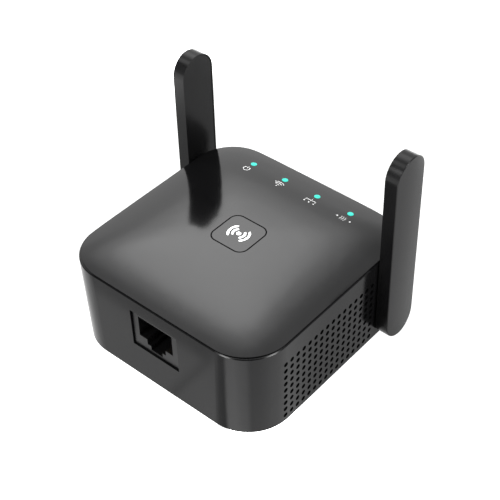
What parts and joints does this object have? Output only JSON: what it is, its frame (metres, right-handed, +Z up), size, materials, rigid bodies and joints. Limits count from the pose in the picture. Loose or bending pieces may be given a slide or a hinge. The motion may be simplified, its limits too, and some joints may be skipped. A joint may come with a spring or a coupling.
{
  "type": "wifi range extender",
  "caption": "Square plug-in wireless range extender with a domed cover, push button, swinging flat antennas, network socket and folding mains plug.",
  "frame": {"origin": "middle of the flat base, at the height of the surface it lies on", "axes": "+Z up through the domed cover, -Y out of the network socket, +X out of the right vent wall and antenna"},
  "size_m": [0.0794, 0.0702, 0.0642],
  "materials": {
    "housing_black": "satin black moulded plastic, fine spark texture",
    "cover_black": "semi-gloss black moulded plastic",
    "button_black": "semi-gloss black moulded plastic with a white print",
    "antenna_black": "satin black moulded plastic",
    "light_guide_turquoise": "clear acrylic lit turquoise",
    "moulded_black": "black engineering plastic",
    "contact_gold": "gold flash on bronze",
    "board_green": "glass-epoxy board under green solder mask",
    "package_black": "black epoxy package",
    "pressed_steel": "tinned sheet steel",
    "switch_body": "black switch case",
    "plunger_plastic": "natural nylon",
    "led_package": "white package with clear resin",
    "ferrite": "dark grey ferrite",
    "coil_tape": "yellow polyester tape over copper wire",
    "capacitor_sleeve": "dark blue sleeve over an aluminium can",
    "fuse_ceramic": "white ceramic tube with metal caps",
    "insulation_film": "translucent polyester film",
    "plated_brass": "nickel-plated brass",
    "screw_steel": "zinc-plated steel",
    "coax_jacket": "thin grey-black coaxial lead"
  },
  "bodies": {
    "housing": {"lower_housing": "housing_black", "top_cover": "cover_black", "light_guides": "light_guide_turquoise", "rj45_jack": "moulded_black", "rj45_contacts": "contact_gold", "main_pcb": "board_green", "power_pcb": "board_green", "wifi_chip": "package_black", "flash_chip": "package_black", "memory_chip": "package_black", "crystal": "pressed_steel", "rf_shield_can": "pressed_steel", "tact_switch": "switch_body", "status_leds": "led_package", "board_header": "moulded_black", "header_pins": "contact_gold", "ethernet_transformer": "package_black", "coax_connectors": "contact_gold", "transformer_core": "ferrite", "transformer_winding": "coil_tape", "input_capacitor": "capacitor_sleeve", "output_capacitor": "capacitor_sleeve", "fuse": "fuse_ceramic", "filter_inductor": "ferrite", "bridge_rectifier": "package_black", "power_controller": "package_black", "insulation_sheet": "insulation_film", "plug_contacts": "plated_brass", "case_screws": "screw_steel", "pcb_screws": "screw_steel", "board_lead_right": "coax_jacket", "board_lead_left": "coax_jacket"},
    "button": {"button_cap": "button_black", "tact_plunger": "plunger_plastic"},
    "plug": {"blade_carrier": "moulded_black", "plug_blade_right": "plated_brass", "plug_blade_left": "plated_brass", "plug_axle": "pressed_steel"},
    "right_antenna": {"antenna_shell_right": "antenna_black", "antenna_plate_right": "antenna_black", "hinge_barrel_right": "moulded_black", "hinge_clip_right": "pressed_steel", "spring_washer_right": "pressed_steel", "radiator_board_right": "board_green", "antenna_lead_right": "coax_jacket"},
    "left_antenna": {"antenna_shell_left": "antenna_black", "antenna_plate_left": "antenna_black", "hinge_barrel_left": "moulded_black", "hinge_clip_left": "pressed_steel", "spring_washer_left": "pressed_steel", "radiator_board_left": "board_green", "antenna_lead_left": "coax_jacket"}
  },
  "joints": [
    {"name": "button_press", "type": "slide", "parent": "housing", "child": "button", "axis": [0, 0, -1], "range_m": [0, 0.0005], "stiffness_N_per_m": 2000, "springref_m": -0.0002},
    {"name": "right_antenna_swing", "type": "hinge", "parent": "housing", "child": "right_antenna", "pos_m": [0.0354, 0.0238, 0.00635], "axis": [1, 0, 0], "range_deg": [-90, 90]},
    {"name": "left_antenna_swing", "type": "hinge", "parent": "housing", "child": "left_antenna", "pos_m": [-0.0354, 0.0238, 0.00635], "axis": [1, 0, 0], "range_deg": [-90, 90]},
    {"name": "plug_fold", "type": "hinge", "parent": "housing", "child": "plug", "pos_m": [0, -0.008, 0.0046], "axis": [-1, 0, 0], "range_deg": [0, 90]}
  ]
}
